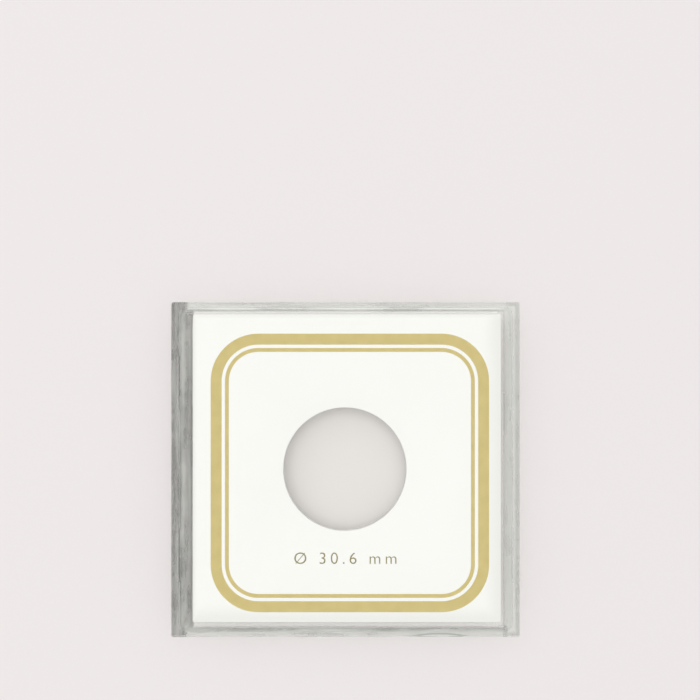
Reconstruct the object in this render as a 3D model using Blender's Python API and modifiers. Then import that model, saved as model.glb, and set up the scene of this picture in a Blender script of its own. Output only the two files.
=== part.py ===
"""Clear snap-together coin holder: a moulded back tray, a front cover and a white coin plate.

The holder lies on its back. +Z points out of the front window, +Y to the top edge of the holder.
"""
import math

import bmesh
import bpy
from mathutils import Matrix, Vector

MM = 0.001

# Coin and coin plate; the hole is cut a little to the left of the plate's middle and below it
COIN_DIAMETER = 30.6 * MM
COIN_CLEARANCE = 0.45 * MM
HOLE_LEFT = 0.5 * MM
HOLE_DROP = 0.25 * MM
INSERT_SIDE = 78.8 * MM
INSERT_THICKNESS = 3.5 * MM
INSERT_CORNER_RADIUS = 0.4 * MM
INSERT_EDGE_BEVEL = 0.2 * MM

# Clear halves: window plates and the walls of the two-layer rim
BACK_PLATE = 2.4 * MM
FRONT_PLATE = 2.4 * MM
SIDE_TONGUE = 2.0 * MM
END_TONGUE = 0.95 * MM
SIDE_SKIRT = 1.85 * MM
END_SKIRT = 1.15 * MM
TONGUE_REACH = 1.9 * MM
CASE_CORNER_RADIUS = 0.6 * MM
CASE_EDGE_RADIUS = 0.3 * MM
TONGUE_CORNER_RADIUS = 2.0 * MM
POCKET_CORNER_RADIUS = 1.2 * MM
TONGUE_LEAD_IN = 0.35 * MM
SKIRT_LEAD_IN = 0.15 * MM
SKIRT_LEAD_HEIGHT = 0.45 * MM

# Snap beads on the two side walls of the tongue, their ends rounded by a share of their radius
SNAP_RADIUS = 0.7 * MM
SNAP_HEIGHT = 0.5 * MM
SNAP_END_ROUNDING = 0.7
SNAP_LENGTH = 14.0 * MM
SNAP_SPACING = 44.0 * MM

# Pry slot across the seam of the bottom edge, shaped for the edge of a coin
PRY_LENGTH = 15.0 * MM
PRY_OFFSET = 24.0 * MM
PRY_WALL = 0.45 * MM
PRY_STEP = 0.6 * MM

# Clearances; the coin plate lies loose in its pocket, close to the top wall and the right wall
SEAT_GAP = 0.3 * MM
FIT_GAP = 0.3 * MM
INSERT_GAP = 0.9 * MM
INSERT_TOP_GAP = 0.6 * MM
INSERT_RIGHT_GAP = 0.55 * MM
CUT_MARGIN = 1.0 * MM

# Facets
CORNER_SEGMENTS = 6
EDGE_SEGMENTS = 3
INSERT_EDGE_SEGMENTS = 2
SNAP_SEGMENTS = 20
HOLE_SEGMENTS = 128
PRY_SEGMENTS = 180
SMOOTH_ANGLE = math.radians(35)

# Plan sizes, worked outwards from the coin plate
POCKET = (INSERT_SIDE + 2 * INSERT_GAP, INSERT_SIDE + 2 * INSERT_GAP)
TONGUE = (POCKET[0] + 2 * SIDE_TONGUE, POCKET[1] + 2 * END_TONGUE)
CAVITY = (TONGUE[0] + 2 * FIT_GAP, TONGUE[1] + 2 * FIT_GAP)
CASE = (CAVITY[0] + 2 * SIDE_SKIRT, CAVITY[1] + 2 * END_SKIRT)

# Where the middles of the coin plate and of its hole lie in plan
INSERT_PLACE = (INSERT_GAP - INSERT_RIGHT_GAP, INSERT_GAP - INSERT_TOP_GAP)
HOLE_PLACE = (INSERT_PLACE[0] - HOLE_LEFT, INSERT_PLACE[1] - HOLE_DROP)

# Levels, worked upwards from the back face
INSERT_LEVEL = BACK_PLATE + SEAT_GAP
CEILING_LEVEL = INSERT_LEVEL + INSERT_THICKNESS + SEAT_GAP
CASE_TOP = CEILING_LEVEL + FRONT_PLATE
TONGUE_TOP = CEILING_LEVEL - SEAT_GAP
RIM_TOP = TONGUE_TOP - TONGUE_REACH
SKIRT_BOTTOM = RIM_TOP + SEAT_GAP
SNAP_LEVEL = (SKIRT_BOTTOM + TONGUE_TOP) / 2


def clear_scene():
    for old in list(bpy.data.objects):
        bpy.data.objects.remove(old, do_unlink=True)


def new_collection(name):
    collection = bpy.data.collections.new(name)
    bpy.context.scene.collection.children.link(collection)
    return collection


def clear_acrylic():
    material = bpy.data.materials.new("clear_acrylic")
    material.use_nodes = True
    shader = material.node_tree.nodes["Principled BSDF"]
    shader.inputs["Base Color"].default_value = (0.93, 0.95, 0.93, 1.0)
    shader.inputs["Roughness"].default_value = 0.06
    shader.inputs["IOR"].default_value = 1.49
    shader.inputs["Transmission Weight"].default_value = 1.0
    return material


def white_styrene():
    material = bpy.data.materials.new("white_styrene")
    material.use_nodes = True
    shader = material.node_tree.nodes["Principled BSDF"]
    shader.inputs["Base Color"].default_value = (0.93, 0.93, 0.89, 1.0)
    shader.inputs["Roughness"].default_value = 0.4
    return material


def link(name, bm, collection, level=0.0):
    """Turn a bmesh into an object that stands at a level on the holder's Z axis."""
    mesh = bpy.data.meshes.new(name)
    bmesh.ops.recalc_face_normals(bm, faces=bm.faces)
    bm.to_mesh(mesh)
    bm.free()
    piece = bpy.data.objects.new(name, mesh)
    piece.location.z = level
    collection.objects.link(piece)
    return piece


def as_cutter(piece):
    piece.hide_render = True
    piece.display_type = 'WIRE'
    return piece


def loop_edges(bm, z):
    """The edges that lie flat at height z."""
    return [edge for edge in bm.edges if all(abs(vert.co.z - z) < 1e-7 for vert in edge.verts)]


def rounded_block(foot, top, height, corner_radius):
    """An upright block with rounded corners, from plan size foot at z = 0 to plan size top."""
    bm = bmesh.new()
    bmesh.ops.create_cube(bm, size=1.0)
    for vert in bm.verts:
        plan = top if vert.co.z > 0 else foot
        vert.co = Vector((vert.co.x * plan[0], vert.co.y * plan[1], height if vert.co.z > 0 else 0.0))
    uprights = [edge for edge in bm.edges if abs(edge.verts[0].co.z - edge.verts[1].co.z) > height / 2]
    bmesh.ops.bevel(bm, geom=uprights, offset=corner_radius, segments=CORNER_SEGMENTS, profile=0.5,
                    affect='EDGES')
    return bm


def round_edge(bm, z, radius, segments=EDGE_SEGMENTS):
    """Round over, or with one segment chamfer, the rim of a block at height z."""
    bmesh.ops.bevel(bm, geom=loop_edges(bm, z), offset=radius, segments=segments, profile=0.5,
                    affect='EDGES')


def disc(radius, depth, segments):
    """A disc on the Z axis, standing on z = 0."""
    bm = bmesh.new()
    bmesh.ops.create_cone(bm, cap_ends=True, segments=segments, radius1=radius, radius2=radius, depth=depth,
                          matrix=Matrix.Translation((0, 0, depth / 2)))
    return bm


def boolean(piece, tool, operation):
    modifier = piece.modifiers.new(tool.name, 'BOOLEAN')
    modifier.operation = operation
    modifier.solver = 'EXACT'
    modifier.object = tool


def snap_bar(name, side, end, clearance, collection):
    """A round-ended bar along a side wall of the tongue: a bead, or with a clearance its groove."""
    radius = SNAP_RADIUS + clearance
    length = SNAP_LENGTH + 2 * clearance
    bm = disc(radius, length, SNAP_SEGMENTS)
    for z in (0.0, length):
        round_edge(bm, z, radius * SNAP_END_ROUNDING)
    bar = as_cutter(link(name, bm, collection, SNAP_LEVEL))
    bar.rotation_euler.x = math.radians(-90)
    bar.location.x = side * (TONGUE[0] / 2 + SNAP_HEIGHT - SNAP_RADIUS)
    bar.location.y = end * SNAP_SPACING / 2 - length / 2
    return bar


def snap_bars(prefix, clearance, collection):
    places = [(side, end) for side in (-1, 1) for end in (-1, 1)]
    return [snap_bar(f"{prefix}_{number}", side, end, clearance, collection)
            for number, (side, end) in enumerate(places, start=1)]


def pry_slot(collection):
    """The disc that cuts the pry slot, reaching into both halves across the seam."""
    depth = END_SKIRT - PRY_WALL
    radius = ((PRY_LENGTH / 2) ** 2 + depth ** 2) / (2 * depth)
    height = SKIRT_BOTTOM - RIM_TOP + 2 * PRY_STEP
    slot = as_cutter(link("pry_slot", disc(radius, height, PRY_SEGMENTS), collection, RIM_TOP - PRY_STEP))
    slot.location.x = PRY_OFFSET
    slot.location.y = -CASE[1] / 2 + depth - radius
    return slot


def back_cover(collection, cutters, slot):
    """Back window with a stepped rim, the tongue standing on it and the pocket for the coin plate."""
    base = rounded_block(CASE, CASE, RIM_TOP, CASE_CORNER_RADIUS)
    round_edge(base, 0.0, CASE_EDGE_RADIUS)
    piece = link("back_cover", base, collection)

    tongue_height = TONGUE_TOP - BACK_PLATE
    tongue = rounded_block(TONGUE, TONGUE, tongue_height, TONGUE_CORNER_RADIUS)
    round_edge(tongue, tongue_height, TONGUE_LEAD_IN, segments=1)
    boolean(piece, as_cutter(link("tongue", tongue, cutters, BACK_PLATE)), 'UNION')
    for bead in snap_bars("snap_bead", 0.0, cutters):
        boolean(piece, bead, 'UNION')

    pocket = rounded_block(POCKET, POCKET, tongue_height + CUT_MARGIN, POCKET_CORNER_RADIUS)
    boolean(piece, as_cutter(link("insert_pocket", pocket, cutters, BACK_PLATE)), 'DIFFERENCE')
    boolean(piece, slot, 'DIFFERENCE')
    return piece


def front_cover(collection, cutters, slot):
    """Front window with a skirt that drops over the tongue down to the seam."""
    height = CASE_TOP - SKIRT_BOTTOM
    shell = rounded_block(CASE, CASE, height, CASE_CORNER_RADIUS)
    round_edge(shell, height, CASE_EDGE_RADIUS)
    piece = link("front_cover", shell, collection, SKIRT_BOTTOM)

    depth = CEILING_LEVEL - SKIRT_BOTTOM + CUT_MARGIN
    cavity = rounded_block(CAVITY, CAVITY, depth, TONGUE_CORNER_RADIUS + FIT_GAP)
    boolean(piece, as_cutter(link("skirt_cavity", cavity, cutters, SKIRT_BOTTOM - CUT_MARGIN)), 'DIFFERENCE')

    mouth = (CAVITY[0] + 4 * SKIRT_LEAD_IN, CAVITY[1] + 4 * SKIRT_LEAD_IN)
    lead_in = rounded_block(mouth, CAVITY, 2 * SKIRT_LEAD_HEIGHT, TONGUE_CORNER_RADIUS + FIT_GAP)
    boolean(piece, as_cutter(link("skirt_lead_in", lead_in, cutters, SKIRT_BOTTOM - SKIRT_LEAD_HEIGHT)),
            'DIFFERENCE')
    for groove in snap_bars("snap_groove", FIT_GAP, cutters):
        boolean(piece, groove, 'DIFFERENCE')
    boolean(piece, slot, 'DIFFERENCE')
    return piece


def coin_insert(collection, cutters):
    """Coin plate with its round hole, all its edges lightly broken."""
    plate = rounded_block((INSERT_SIDE, INSERT_SIDE), (INSERT_SIDE, INSERT_SIDE), INSERT_THICKNESS,
                          INSERT_CORNER_RADIUS)
    piece = link("coin_insert", plate, collection, INSERT_LEVEL)
    hole = disc(COIN_DIAMETER / 2 + COIN_CLEARANCE, INSERT_THICKNESS + 2 * CUT_MARGIN, HOLE_SEGMENTS)
    cutter = as_cutter(link("coin_hole", hole, cutters, INSERT_LEVEL - CUT_MARGIN))
    boolean(piece, cutter, 'DIFFERENCE')
    piece.location.xy = INSERT_PLACE
    cutter.location.xy = HOLE_PLACE

    bevel = piece.modifiers.new("broken_edges", 'BEVEL')
    bevel.width = INSERT_EDGE_BEVEL
    bevel.segments = INSERT_EDGE_SEGMENTS
    bevel.limit_method = 'ANGLE'
    bevel.angle_limit = SMOOTH_ANGLE
    return piece


def main():
    clear_scene()
    holder = new_collection("coin_holder")
    cutters = new_collection("cutters")
    slot = pry_slot(cutters)
    acrylic = clear_acrylic()
    covers = [back_cover(holder, cutters, slot), front_cover(holder, cutters, slot)]
    insert = coin_insert(holder, cutters)
    for piece in covers:
        piece.data.materials.append(acrylic)
    insert.data.materials.append(white_styrene())
    for piece in covers + [insert]:
        piece.data.shade_smooth()
        piece.data.set_sharp_from_angle(angle=SMOOTH_ANGLE)


main()
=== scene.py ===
"""Looks of the clear coin holder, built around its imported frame."""
import math

import bmesh
import bpy
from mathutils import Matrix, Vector


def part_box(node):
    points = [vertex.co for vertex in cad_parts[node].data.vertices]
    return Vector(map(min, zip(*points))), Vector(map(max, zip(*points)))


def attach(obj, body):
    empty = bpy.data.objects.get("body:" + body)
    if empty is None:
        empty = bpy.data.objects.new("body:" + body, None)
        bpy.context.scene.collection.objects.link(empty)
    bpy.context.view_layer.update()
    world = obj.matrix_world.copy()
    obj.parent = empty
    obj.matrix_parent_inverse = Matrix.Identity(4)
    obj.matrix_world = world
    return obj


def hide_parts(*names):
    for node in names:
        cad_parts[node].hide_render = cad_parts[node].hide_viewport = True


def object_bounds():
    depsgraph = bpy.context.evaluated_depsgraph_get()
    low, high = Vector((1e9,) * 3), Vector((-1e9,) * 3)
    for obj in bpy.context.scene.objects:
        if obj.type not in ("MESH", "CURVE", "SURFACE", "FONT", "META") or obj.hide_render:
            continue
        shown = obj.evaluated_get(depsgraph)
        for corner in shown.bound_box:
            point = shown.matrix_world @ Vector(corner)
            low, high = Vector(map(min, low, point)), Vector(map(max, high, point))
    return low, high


MM = 0.001

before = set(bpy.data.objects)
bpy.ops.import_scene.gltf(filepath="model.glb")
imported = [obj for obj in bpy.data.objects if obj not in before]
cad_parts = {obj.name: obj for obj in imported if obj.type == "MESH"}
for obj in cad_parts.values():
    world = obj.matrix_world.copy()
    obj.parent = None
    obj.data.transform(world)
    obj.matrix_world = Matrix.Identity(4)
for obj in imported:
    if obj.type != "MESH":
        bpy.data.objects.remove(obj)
cad_low, cad_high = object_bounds()
insert_low, insert_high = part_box("coin_insert")

# Photograph: the case's front outline in the 700 x 700 frame
IMAGE_SIDE_PX = 700
CASE_CENTRE_PX = (345.5, 469.6)
CASE_WIDTH_PX = 348.6
CAMERA_DISTANCE = 800 * MM
CAMERA_NEAR = 1 * MM
SENSOR_WIDTH = 36.0

# Case: the pocket's walls stand this far from its middle, and the side walls run through its corners
POCKET_HALF = 40.3 * MM
SIDE_WALL = 3.6 * MM
CORNER_BLUR = 0.6 * MM
BACK_PLATE = 2.4 * MM

# Clear acrylic; outside and in the windows it is polished, with fine scuffs
ACRYLIC_IOR = 1.49
POLISHED_COLOUR = (0.993, 0.997, 0.99, 1.0)
POLISHED_SKIN = (0.1 * MM, 0.15 * MM)
POLISHED_ROUGHNESS = (0.004, 0.03)
SCUFF_SCALE = 90.0
SCUFF_DETAIL = 6.0
SCUFF_RANGE = (0.45, 0.75)

# Cloud inside the rim, partly real and partly painted shade that makes the left wall darkest. Each tuple of
# four has a value for the left, right, top and bottom wall: the share of light that the wall lets through,
# and how far its streaks change that
WALL_CLEAR_AND_SHADE = (0.645, 0.99, 0.985, 0.94)
STREAK_DEPTH = (0.19, 0.10, 0.15, 0.20)
# Where the cloud starts, out from the pocket; on the left it starts inside, so that painted shade lies in the
# gap beside the coin plate
CLOUD_START = (-1.25 * MM, 0.02 * MM, 0.02 * MM, 0.02 * MM)
# Painted shade in the crease by the pocket: how far out it reaches, and its share of light
CREASE_SHADE_REACH = (-0.7 * MM, 0.3 * MM, 0.6 * MM, 1.1 * MM)
CREASE_SHADE_CLEAR = (0.68, 0.84, 0.85, 0.80)
# Border along the outer side faces: its width, and its share of light
BORDER_WIDTH = (1.9 * MM, 1.0 * MM, 0.6 * MM, 0.2 * MM)
BORDER_CLEAR = (0.80, 0.81, 0.93, 0.95)
# Painted shade on slopes, such as the chamfers: their share of light
SLOPE_SHADE = (0.55, 0.65, 0.95, 0.9)
# Haze on the margin of the pocket's floor, around the coin plate
HAZE = (0.0, 0.2, 0.6, 0.42)
HAZE_WIDTH = 1.4 * MM
HAZE_BLUR = 0.1 * MM
HAZE_HEIGHT = 0.05 * MM

# Cloud on all walls alike
CLOUD_TINT = (0.968, 1.0, 0.975, 1.0)
CLOUD_BLUR = 0.1 * MM
ZONE_BLUR = 0.15 * MM
CLOUD_RELIEF = 0.05 * MM
FROST_ROUGHNESS = (0.22, 0.4)
LAMP_DIMMING = 0.2
SLOPE_MATT = 0.75

# A face is a slope where the upward part of its normal lies between these, blended in at both ends
SLOPE_FROM_UPRIGHT = (0.1, 0.2)
SLOPE_FROM_LEVEL = (0.98, 0.96)

# Streaks drawn along the walls, with blotches among them
STREAK_SCALE = 850.0
STREAK_ALONG = 0.09
STREAK_UPWARDS = 0.3
BLOTCH_SCALE = 300.0
BLOTCH_SHARE = 0.25
GRAIN_DETAIL = 1.0
GRAIN_RANGE = (0.35, 0.65)

# Pry slot in the bottom edge, with painted shade, grey and matt, along its round wall
PRY_PLACE = (24.0 * MM, 4.45 * MM)
PRY_LENGTH = 15.0 * MM
PRY_DEPTH = 0.7 * MM
PRY_RADIUS = ((PRY_LENGTH / 2) ** 2 + PRY_DEPTH ** 2) / (2 * PRY_DEPTH)
PRY_SHADE_OUTWARDS = 0.3 * MM
PRY_SHADE_INWARDS = 0.06 * MM
PRY_SHADE_HEIGHT = 1.65 * MM
PRY_SHADE_COLOUR = (0.46, 0.47, 0.45, 1.0)
PRY_SHADE_MATT = 0.8

# White coin plate; its hole is cut a little to the left of its middle and below it
PLATE_RADIUS = 0.4 * MM
PLATE_EDGE = 0.2 * MM
HOLE_DIAMETER = 31.5 * MM
HOLE_SHIFT = (-0.5 * MM, -0.25 * MM)
PLATE_DARK = (0.945, 0.95, 0.925, 1.0)
PLATE_LIGHT = (0.965, 0.968, 0.945, 1.0)
PLATE_CLOUD_SCALE = 60.0
PLATE_GRAIN_SCALE = 4500.0
PLATE_ROUGHNESS = (0.34, 0.46)
PLATE_RELIEF = 0.004 * MM

# Painted shade in the margin of the coin plate: grey up to the first distance from an edge, and white from
# the second
MARGIN_SHADE_COLOUR = (0.87, 0.875, 0.85, 1.0)
WIDE_MARGIN = (0.96 * MM, 4.48 * MM)
NARROW_MARGIN = (0.24 * MM, 1.12 * MM)

# Gold foil on the coin plate: a wide band and a thin line inside it
FOIL_SIDE = 71.2 * MM
FOIL_RADIUS = 12.2 * MM
BAND_WIDTH = 2.8 * MM
BAND_GAP = 0.87 * MM
LINE_WIDTH = 0.97 * MM
FOIL_THICKNESS = 0.03 * MM
FOIL_SHIFT = (0.77 * MM, -1.22 * MM)
FOIL_DARK = (0.765, 0.636, 0.231, 1.0)
FOIL_LIGHT = (0.823, 0.688, 0.263, 1.0)
FOIL_METAL = 0.55
FOIL_TONE_SCALE = 350.0
FOIL_GRAIN_SCALE = 9000.0
FOIL_ROUGHNESS = (0.44, 0.56)
FOIL_RELIEF = 0.006 * MM

# Coin size in darker gold below the hole; a digit's height is a share of the font's size
CAPTION = "\u00d8 30.6 mm"
CAPTION_HEIGHT = 2.9 * MM
DIGIT_SHARE = 0.68
CAPTION_SPACING = 1.4
CAPTION_THINNING = 0.04 * MM
CAPTION_DROP = 23.2 * MM
CAPTION_LEFT = 0.35 * MM
CAPTION_DARK = (0.31, 0.265, 0.10, 1.0)
CAPTION_LIGHT = (0.37, 0.315, 0.125, 1.0)

# Facets of the plate and the foil
CORNER_STEPS = 24
EDGE_STEPS = 3
SAME_POINT = 0.0001 * MM
SHARP_ANGLE = math.radians(25)

# Soft tones in the plate and the foil; most of a noise lies in this range
TONE_DETAIL = 4.0
NOISE_RANGE = (0.3, 0.7)

# Floor of pale paper, in metres; it turns into the backdrop between two distances from its middle
PAPER_DARK = (0.8225, 0.785, 0.79, 1.0)
PAPER_LIGHT = (0.835, 0.797, 0.802, 1.0)
PAPER_ROUGHNESS = (0.85, 0.95)
PAPER_RELIEF = 0.02 * MM
FIBRE_SCALE = 900.0
FIBRE_DETAIL = 5.0
FLOOR_HALF = 3.0
FLOOR_DROP = 0.3 * MM
FADE = (0.4, 1.4)
BACKDROP_COLOUR = (0.83, 0.79, 0.79, 1.0)

# Studio, in metres and watts: together the sky and the two lamps light a level surface at about 1
AMBIENT_COLOUR = (1.0, 0.99, 0.98, 1.0)
AMBIENT_LEVEL = 0.747
TOP_PLACE = (-0.10, 0.15, 1.80)
TOP_SIZE = 1.6
TOP_POWER = 8.8
KEY_PLACE = (-0.90, 0.70, 1.20)
KEY_SIZE = 1.8
KEY_POWER = 3.0
MOST_BOUNCES = 32

BLACK = (0.0, 0.0, 0.0, 1.0)


def add_object(name, data):
    item = bpy.data.objects.new(name, data)
    bpy.context.scene.collection.objects.link(item)
    return item


def mesh_from(bm, name, material):
    mesh = bpy.data.meshes.new(name)
    bm.to_mesh(mesh)
    bm.free()
    mesh.materials.append(material)
    return mesh


def material_nodes(name):
    material = bpy.data.materials.new(name)
    material.use_nodes = True
    tree = material.node_tree
    return material, tree, tree.nodes["Principled BSDF"]


def put(tree, socket, value):
    """Link a node's output to a socket, or set a plain number or colour on it."""
    if isinstance(value, bpy.types.NodeSocket):
        tree.links.new(value, socket)
    else:
        socket.default_value = value


def calc(tree, operation, *values):
    node = tree.nodes.new("ShaderNodeMath")
    node.operation = operation
    for socket, value in zip(node.inputs, values):
        put(tree, socket, value)
    return node.outputs[0]


def spread(tree, value, low, high, to_low=0.0, to_high=1.0):
    """Carry a value over from one range to another and hold it at the ends."""
    node = tree.nodes.new("ShaderNodeMapRange")
    for name, number in (("From Min", low), ("From Max", high), ("To Min", to_low), ("To Max", to_high)):
        put(tree, node.inputs[name], number)
    put(tree, node.inputs["Value"], value)
    return node.outputs["Result"]


def mix_number(tree, factor, first, second):
    node = tree.nodes.new("ShaderNodeMix")
    put(tree, node.inputs["Factor"], factor)
    put(tree, node.inputs["A"], first)
    put(tree, node.inputs["B"], second)
    return node.outputs["Result"]


def mix_colour(tree, factor, first, second):
    node = tree.nodes.new("ShaderNodeMix")
    node.data_type = 'RGBA'
    factor_socket, first_socket, second_socket = [node.inputs[i] for i in (0, 6, 7)]
    put(tree, factor_socket, factor)
    put(tree, first_socket, first)
    put(tree, second_socket, second)
    return node.outputs[2]


def show_mixed(tree, factor, first, second, output="Material Output"):
    """Mix two shaders, and show the mix on the surface."""
    mix = tree.nodes.new("ShaderNodeMixShader")
    put(tree, mix.inputs[0], factor)
    tree.links.new(first.outputs[0], mix.inputs[1])
    tree.links.new(second.outputs[0], mix.inputs[2])
    tree.links.new(mix.outputs[0], tree.nodes[output].inputs["Surface"])


def noise(tree, vector, scale, detail=2.0):
    node = tree.nodes.new("ShaderNodeTexNoise")
    node.inputs["Scale"].default_value = scale
    node.inputs["Detail"].default_value = detail
    tree.links.new(vector, node.inputs["Vector"])
    return node.outputs["Fac"]


def parts_of(tree, vector):
    node = tree.nodes.new("ShaderNodeSeparateXYZ")
    tree.links.new(vector, node.inputs[0])
    return node.outputs


def vector_of(tree, x, y, z):
    node = tree.nodes.new("ShaderNodeCombineXYZ")
    for socket, value in zip(node.inputs, (x, y, z)):
        put(tree, socket, value)
    return node.outputs[0]


def bump(tree, shader, height, distance):
    node = tree.nodes.new("ShaderNodeBump")
    node.inputs["Distance"].default_value = distance
    tree.links.new(height, node.inputs["Height"])
    tree.links.new(node.outputs["Normal"], shader.inputs["Normal"])


def lamps_pass(tree, shader, tint):
    """Let lamp light and diffuse light straight through a clear material, with its tint."""
    paths = tree.nodes.new("ShaderNodeLightPath").outputs
    either = calc(tree, 'MAXIMUM', paths["Is Shadow Ray"], paths["Is Diffuse Ray"])
    open_air = tree.nodes.new("ShaderNodeBsdfTransparent")
    put(tree, open_air.inputs["Color"], tint)
    show_mixed(tree, either, shader, open_air)


def by_wall(tree, place, walls):
    """Pick a wall's value at a place: walls holds one each for the left, right, top and bottom wall."""
    x, y, _ = parts_of(tree, place)
    side = calc(tree, 'ABSOLUTE', x)
    end = calc(tree, 'ABSOLUTE', y)
    along_pocket = calc(tree, 'MULTIPLY', calc(tree, 'GREATER_THAN', side, POCKET_HALF - HAZE_WIDTH),
                        spread(tree, end, POCKET_HALF + CORNER_BLUR, POCKET_HALF - CORNER_BLUR))
    side_edge = cad_high.x - SIDE_WALL
    in_wall = spread(tree, side, side_edge - CORNER_BLUR, side_edge + CORNER_BLUR)
    on_side = calc(tree, 'MAXIMUM', in_wall, along_pocket)
    left, right, top, bottom = walls
    at_side = mix_number(tree, calc(tree, 'GREATER_THAN', x, 0.0), left, right)
    at_end = mix_number(tree, calc(tree, 'GREATER_THAN', y, 0.0), bottom, top)
    return mix_number(tree, on_side, at_end, at_side)


def rim_distances(tree, place):
    """Distances out from the pocket's walls, in from the outer side faces, and in from the whole skin."""
    x, y, z = parts_of(tree, place)
    side = calc(tree, 'ABSOLUTE', x)
    end = calc(tree, 'ABSOLUTE', y)
    beyond = calc(tree, 'SUBTRACT', calc(tree, 'MAXIMUM', side, end), POCKET_HALF)
    inside = calc(tree, 'MINIMUM', calc(tree, 'SUBTRACT', cad_high.x, side),
                  calc(tree, 'SUBTRACT', cad_high.y, end))
    depth = calc(tree, 'MINIMUM', calc(tree, 'SUBTRACT', z, cad_low.z),
                 calc(tree, 'SUBTRACT', cad_high.z, z))
    return beyond, inside, calc(tree, 'MINIMUM', inside, depth)


def drawn_streaks(tree, place):
    """Murk from nought to one, in streaks drawn along each wall."""
    x, y, z = parts_of(tree, place)
    on_side = by_wall(tree, place, (1.0, 1.0, 0.0, 0.0))
    along = calc(tree, 'MULTIPLY', mix_number(tree, on_side, x, y), STREAK_ALONG)
    across = mix_number(tree, on_side, y, x)
    upwards = calc(tree, 'MULTIPLY', z, STREAK_UPWARDS)
    streaks = noise(tree, vector_of(tree, along, across, upwards), STREAK_SCALE, GRAIN_DETAIL)
    blotches = noise(tree, place, BLOTCH_SCALE, GRAIN_DETAIL)
    return spread(tree, mix_number(tree, BLOTCH_SHARE, streaks, blotches), *GRAIN_RANGE)


def light_share(tree, place, beyond, inside, murk, slope):
    """How much light a cloudy face lets through: each wall's share holds painted shade, and it is less in the
    painted shade of the crease and on slopes, and along the border.
    """
    change = spread(tree, murk, 0.0, 1.0, -1.0, 1.0)
    clear = calc(tree, 'ADD', by_wall(tree, place, WALL_CLEAR_AND_SHADE),
                 calc(tree, 'MULTIPLY', by_wall(tree, place, STREAK_DEPTH), change))
    zones = ((beyond, CREASE_SHADE_REACH, CREASE_SHADE_CLEAR), (inside, BORDER_WIDTH, BORDER_CLEAR))
    for distance, reach, share in zones:
        past = calc(tree, 'SUBTRACT', distance, by_wall(tree, place, reach))
        dimming = spread(tree, past, -ZONE_BLUR, ZONE_BLUR, by_wall(tree, place, share), 1.0)
        clear = calc(tree, 'MULTIPLY', clear, dimming)
    shade = spread(tree, slope, 0.0, 1.0, 1.0, by_wall(tree, place, SLOPE_SHADE))
    return calc(tree, 'MULTIPLY', clear, shade)


def pocket_haze(tree, place, beyond):
    """Haze on the pocket's floor, in the margin that the coin plate leaves free."""
    z = parts_of(tree, place)[2]
    on_floor = calc(tree, 'COMPARE', z, cad_low.z + BACK_PLATE, HAZE_HEIGHT)
    haze = calc(tree, 'MULTIPLY', by_wall(tree, place, HAZE), on_floor)
    return calc(tree, 'MULTIPLY', haze, spread(tree, beyond, -HAZE_WIDTH, HAZE_BLUR - HAZE_WIDTH))


def pry_wall_shade(tree, place):
    """Painted shade: one on the pry slot's round wall and close beside it, and nought elsewhere."""
    x, y, z = parts_of(tree, place)
    sideways = calc(tree, 'SUBTRACT', x, PRY_PLACE[0])
    inwards = calc(tree, 'SUBTRACT', y, cad_low.y + PRY_DEPTH - PRY_RADIUS)
    radius = calc(tree, 'SQRT', calc(tree, 'ADD', calc(tree, 'POWER', sideways, 2.0),
                                     calc(tree, 'POWER', inwards, 2.0)))
    shade_radius = PRY_RADIUS + (PRY_SHADE_INWARDS - PRY_SHADE_OUTWARDS) / 2
    on_wall = calc(tree, 'COMPARE', radius, shade_radius, (PRY_SHADE_INWARDS + PRY_SHADE_OUTWARDS) / 2)
    in_slot = calc(tree, 'COMPARE', z, cad_low.z + PRY_PLACE[1], PRY_SHADE_HEIGHT / 2)
    return calc(tree, 'MULTIPLY', on_wall, in_slot)


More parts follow.
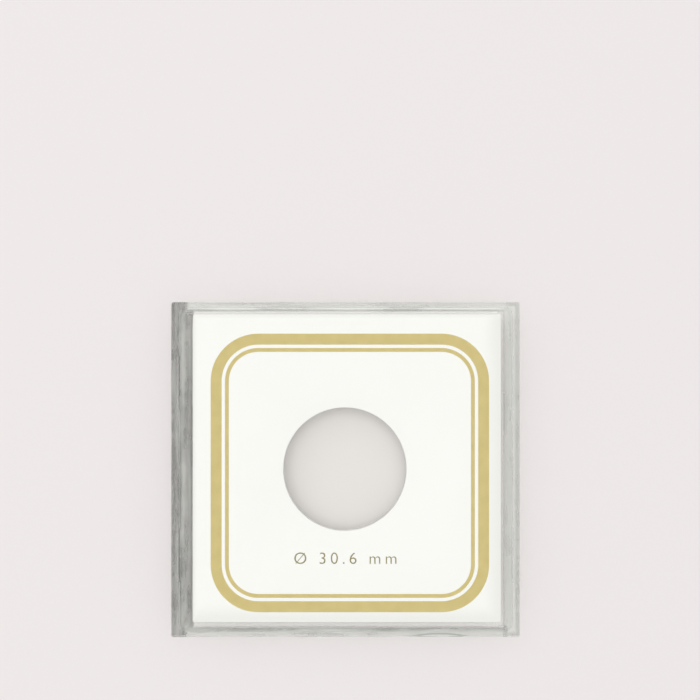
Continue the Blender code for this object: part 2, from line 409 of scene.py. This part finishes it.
def acrylic_material():
    """Clear acrylic: polished outside and in the windows, drawn and cloudy inside the rim, with painted shade
    in the rim and the pry slot.
    """
    material, tree, shader = material_nodes("clear_acrylic")
    here = tree.nodes.new("ShaderNodeTexCoord").outputs
    place = here["Object"]
    level = calc(tree, 'ABSOLUTE', parts_of(tree, here["Normal"])[2])
    slope = calc(tree, 'MULTIPLY', spread(tree, level, *SLOPE_FROM_UPRIGHT),
                 spread(tree, level, *SLOPE_FROM_LEVEL))
    beyond, inside, skin = rim_distances(tree, place)
    from_cloud = calc(tree, 'SUBTRACT', beyond, by_wall(tree, place, CLOUD_START))
    cloudy = calc(tree, 'MULTIPLY', spread(tree, from_cloud, 0.0, CLOUD_BLUR),
                  spread(tree, skin, *POLISHED_SKIN))
    murk = drawn_streaks(tree, place)
    pry_shade = pry_wall_shade(tree, place)

    # The cloud takes light away, partly as painted shade; shade is painted grey on the pry slot's wall
    clear = light_share(tree, place, beyond, inside, murk, slope)
    tint = mix_colour(tree, clear, BLACK, CLOUD_TINT)
    body = mix_colour(tree, cloudy, POLISHED_COLOUR, tint)
    put(tree, shader.inputs["Base Color"], mix_colour(tree, pry_shade, body, PRY_SHADE_COLOUR))

    # Level faces are frosted where they are cloudy
    scuffs = spread(tree, noise(tree, place, SCUFF_SCALE, SCUFF_DETAIL), *SCUFF_RANGE, *POLISHED_ROUGHNESS)
    frost = spread(tree, murk, 0.0, 1.0, *FROST_ROUGHNESS)
    frosted = calc(tree, 'MULTIPLY', cloudy, level)
    put(tree, shader.inputs["Roughness"], mix_number(tree, frosted, scuffs, frost))

    # Hazy and sloped faces are matt, and so is the painted shade on the pry slot
    cloudy_slope = calc(tree, 'MULTIPLY', slope, cloudy)
    matt = calc(tree, 'MAXIMUM', pocket_haze(tree, place, beyond),
                calc(tree, 'MULTIPLY', cloudy_slope, SLOPE_MATT))
    matt = calc(tree, 'MAXIMUM', matt, calc(tree, 'MULTIPLY', pry_shade, PRY_SHADE_MATT))
    put(tree, shader.inputs["Transmission Weight"], calc(tree, 'SUBTRACT', 1.0, matt))
    shader.inputs["IOR"].default_value = ACRYLIC_IOR
    bump(tree, shader, calc(tree, 'MULTIPLY', murk, cloudy), CLOUD_RELIEF)
    dimmed = calc(tree, 'MULTIPLY', cloudy, LAMP_DIMMING)
    lamps_pass(tree, shader, mix_colour(tree, dimmed, POLISHED_COLOUR, tint))
    return material


def plate_material():
    """White styrene with a faint cloudiness, a fine moulded skin and painted shade in its margin."""
    material, tree, shader = material_nodes("white_styrene")
    place = tree.nodes.new("ShaderNodeTexCoord").outputs["Object"]
    cloud = spread(tree, noise(tree, place, PLATE_CLOUD_SCALE, TONE_DETAIL), *NOISE_RANGE)
    white = mix_colour(tree, cloud, PLATE_DARK, PLATE_LIGHT)

    # Painted shade greys the margin towards the right and bottom edges, and only close to the other two
    x, y, _ = parts_of(tree, place)
    half = (insert_high - insert_low) / 2
    margins = ((calc(tree, 'SUBTRACT', half.x, x), WIDE_MARGIN),
               (calc(tree, 'ADD', half.y, y), WIDE_MARGIN),
               (calc(tree, 'ADD', half.x, x), NARROW_MARGIN),
               (calc(tree, 'SUBTRACT', half.y, y), NARROW_MARGIN))
    grey = 0.0
    for distance, margin in margins:
        grey = calc(tree, 'MAXIMUM', grey, spread(tree, distance, *margin, 1.0, 0.0))
    put(tree, shader.inputs["Base Color"], mix_colour(tree, grey, white, MARGIN_SHADE_COLOUR))
    put(tree, shader.inputs["Roughness"], spread(tree, cloud, 0.0, 1.0, *PLATE_ROUGHNESS))
    bump(tree, shader, noise(tree, place, PLATE_GRAIN_SCALE), PLATE_RELIEF)
    return material


def foil_material(name, dark, light):
    """Hot-stamped gold foil: satin, with a fine grain and a slightly uneven tone."""
    material, tree, shader = material_nodes(name)
    place = tree.nodes.new("ShaderNodeTexCoord").outputs["Object"]
    tone = spread(tree, noise(tree, place, FOIL_TONE_SCALE, TONE_DETAIL), *NOISE_RANGE)
    grain = noise(tree, place, FOIL_GRAIN_SCALE)
    put(tree, shader.inputs["Base Color"], mix_colour(tree, tone, dark, light))
    shader.inputs["Metallic"].default_value = FOIL_METAL
    put(tree, shader.inputs["Roughness"], spread(tree, grain, *NOISE_RANGE, *FOIL_ROUGHNESS))
    bump(tree, shader, grain, FOIL_RELIEF)
    return material


def paper_material():
    """Pale paper that fades into the backdrop far from the middle."""
    material, tree, shader = material_nodes("floor_paper")
    place = tree.nodes.new("ShaderNodeTexCoord").outputs["Object"]
    fibre = noise(tree, place, FIBRE_SCALE, FIBRE_DETAIL)
    put(tree, shader.inputs["Base Color"], mix_colour(tree, fibre, PAPER_DARK, PAPER_LIGHT))
    put(tree, shader.inputs["Roughness"], spread(tree, fibre, *NOISE_RANGE, *PAPER_ROUGHNESS))
    bump(tree, shader, fibre, PAPER_RELIEF)
    away = tree.nodes.new("ShaderNodeVectorMath")
    away.operation = 'LENGTH'
    tree.links.new(place, away.inputs[0])
    backdrop = tree.nodes.new("ShaderNodeEmission")
    backdrop.inputs["Color"].default_value = BACKDROP_COLOUR
    show_mixed(tree, spread(tree, away.outputs["Value"], *FADE), shader, backdrop)
    return material


def rounded_square(side, radius, z, middle=(0.0, 0.0)):
    """Points of a level rounded square, anticlockwise from its right side.

    It is a circle where the radius is half the side.
    """
    half = side / 2 - radius
    points = []
    for quarter, (sx, sy) in enumerate(((1, 1), (-1, 1), (-1, -1), (1, -1))):
        for step in range(CORNER_STEPS + 1):
            angle = math.radians(90) * (quarter + step / CORNER_STEPS)
            x = middle[0] + sx * half + radius * math.cos(angle)
            y = middle[1] + sy * half + radius * math.sin(angle)
            points.append((x, y, z))
    return points


def skinned_ring(name, loops, material):
    """A closed ring with a skin from each loop of points to the next, and from the last back to the first."""
    bm = bmesh.new()
    rows = [[bm.verts.new(point) for point in loop] for loop in loops]
    for row, next_row in zip(rows, rows[1:] + rows[:1]):
        for i in range(len(row)):
            bm.faces.new((row[i - 1], row[i], next_row[i], next_row[i - 1]))
    bmesh.ops.remove_doubles(bm, verts=bm.verts, dist=SAME_POINT)
    bmesh.ops.recalc_face_normals(bm, faces=bm.faces)
    mesh = mesh_from(bm, name, material)
    mesh.shade_smooth()
    mesh.set_sharp_from_angle(angle=SHARP_ANGLE)
    return add_object(name, mesh)


def coin_plate(name, material):
    """The white plate with its coin hole, with the edges of both rounded."""
    side = insert_high.x - insert_low.x
    thickness = insert_high.z - insert_low.z
    turns = [math.radians(90) * step / EDGE_STEPS for step in range(EDGE_STEPS + 1)]
    back_edge = [(PLATE_EDGE * (1 - math.sin(turn)), PLATE_EDGE * (1 - math.cos(turn))) for turn in turns]
    front_edge = [(inset, thickness - z) for inset, z in reversed(back_edge)]
    wall = back_edge + front_edge
    outside = [rounded_square(side - 2 * inset, PLATE_RADIUS - inset, z) for inset, z in wall]
    hole = [rounded_square(HOLE_DIAMETER + 2 * inset, HOLE_DIAMETER / 2 + inset, z, HOLE_SHIFT)
            for inset, z in reversed(wall)]
    return skinned_ring(name, outside + hole, material)


def foil_ring(name, side, radius, width, material):
    """A flat ring of foil with a rounded-square outline."""
    section = ((0.0, 0.0), (0.0, FOIL_THICKNESS), (width, FOIL_THICKNESS), (width, 0.0))
    loops = [rounded_square(side - 2 * inset, radius - inset, z) for inset, z in section]
    return skinned_ring(name, loops, material)


def caption(name, material):
    """The coin size in gold under the hole."""
    text = bpy.data.curves.new(name, 'FONT')
    text.body = CAPTION
    text.size = CAPTION_HEIGHT / DIGIT_SHARE
    text.align_x = 'CENTER'
    text.align_y = 'CENTER'
    text.space_character = CAPTION_SPACING
    text.offset = -CAPTION_THINNING
    text.extrude = FOIL_THICKNESS / 2
    text.materials.append(material)
    return add_object(name, text)


def ride_on_insert(piece, x, y, z):
    """Place a piece of the coin plate, x and y from the plate's middle, and let it move with the plate."""
    middle = (insert_low + insert_high) / 2
    piece.location = (middle.x + x, middle.y + y, z)
    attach(piece, "insert")


def stage_floor():
    bm = bmesh.new()
    bmesh.ops.create_grid(bm, x_segments=1, y_segments=1, size=FLOOR_HALF)
    floor = add_object("floor", mesh_from(bm, "floor", paper_material()))
    floor.location.z = cad_low.z - FLOOR_DROP


def softbox(name, location, size, power, mirrored):
    """A round soft lamp that faces the middle of the scene and, if mirrored, shows in shiny surfaces."""
    light = bpy.data.lights.new(name, 'AREA')
    light.shape = 'DISK'
    light.size = size
    light.energy = power
    lamp = add_object(name, light)
    lamp.location = location
    lamp.rotation_euler = (-Vector(location)).to_track_quat('-Z', 'Y').to_euler()
    lamp.visible_glossy = mirrored
    lamp.visible_transmission = False


def studio_world():
    """An even sky lights the scene, while the camera, gloss and clear acrylic show the plain backdrop."""
    world = bpy.data.worlds.new("studio")
    bpy.context.scene.world = world
    world.use_nodes = True
    tree = world.node_tree
    ambient = tree.nodes["Background"]
    ambient.inputs["Color"].default_value = AMBIENT_COLOUR
    ambient.inputs["Strength"].default_value = AMBIENT_LEVEL
    backdrop = tree.nodes.new("ShaderNodeBackground")
    backdrop.inputs["Color"].default_value = BACKDROP_COLOUR
    paths = tree.nodes.new("ShaderNodeLightPath").outputs
    seen = paths["Is Camera Ray"]
    for ray in ("Is Glossy Ray", "Is Transmission Ray"):
        seen = calc(tree, 'MAXIMUM', seen, paths[ray])
    show_mixed(tree, seen, ambient, backdrop, "World Output")


def photo_camera():
    """Camera straight over the front window, placed so that the case falls on its pixels."""
    metres_per_px = (cad_high.x - cad_low.x) / CASE_WIDTH_PX
    middle = IMAGE_SIDE_PX / 2
    camera = bpy.data.cameras.new("camera")
    camera.sensor_width = SENSOR_WIDTH
    camera.lens = CAMERA_DISTANCE / metres_per_px * SENSOR_WIDTH / IMAGE_SIDE_PX
    camera.clip_start = CAMERA_NEAR
    view = add_object("camera", camera)
    view.location = ((middle - CASE_CENTRE_PX[0]) * metres_per_px,
                     (CASE_CENTRE_PX[1] - middle) * metres_per_px,
                     cad_high.z + CAMERA_DISTANCE)
    bpy.context.scene.camera = view


acrylic = acrylic_material()
for node in ("back_cover", "front_cover"):
    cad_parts[node].data.materials.clear()
    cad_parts[node].data.materials.append(acrylic)
plate = coin_plate("coin_plate", plate_material())
ride_on_insert(plate, 0.0, 0.0, insert_low.z)
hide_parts("coin_insert")

gold = foil_material("gold_foil", FOIL_DARK, FOIL_LIGHT)
dark_gold = foil_material("dark_gold_foil", CAPTION_DARK, CAPTION_LIGHT)
band = foil_ring("border_band", FOIL_SIDE, FOIL_RADIUS, BAND_WIDTH, gold)
ride_on_insert(band, *FOIL_SHIFT, insert_high.z)
line_inset = BAND_WIDTH + BAND_GAP
line = foil_ring("border_line", FOIL_SIDE - 2 * line_inset, FOIL_RADIUS - line_inset, LINE_WIDTH, gold)
ride_on_insert(line, *FOIL_SHIFT, insert_high.z)
size_caption = caption("size_caption", dark_gold)
ride_on_insert(size_caption, -CAPTION_LEFT, -CAPTION_DROP, insert_high.z + FOIL_THICKNESS / 2)

stage_floor()
studio_world()
softbox("top", TOP_PLACE, TOP_SIZE, TOP_POWER, mirrored=False)
softbox("key", KEY_PLACE, KEY_SIZE, KEY_POWER, mirrored=True)
photo_camera()
bpy.context.scene.view_settings.view_transform = 'Standard'

# Light runs far between the faces of the clear plates before it leaves by an edge
light_paths = bpy.context.scene.cycles
light_paths.max_bounces = MOST_BOUNCES
light_paths.glossy_bounces = MOST_BOUNCES
light_paths.transmission_bounces = MOST_BOUNCES
light_paths.transparent_max_bounces = MOST_BOUNCES
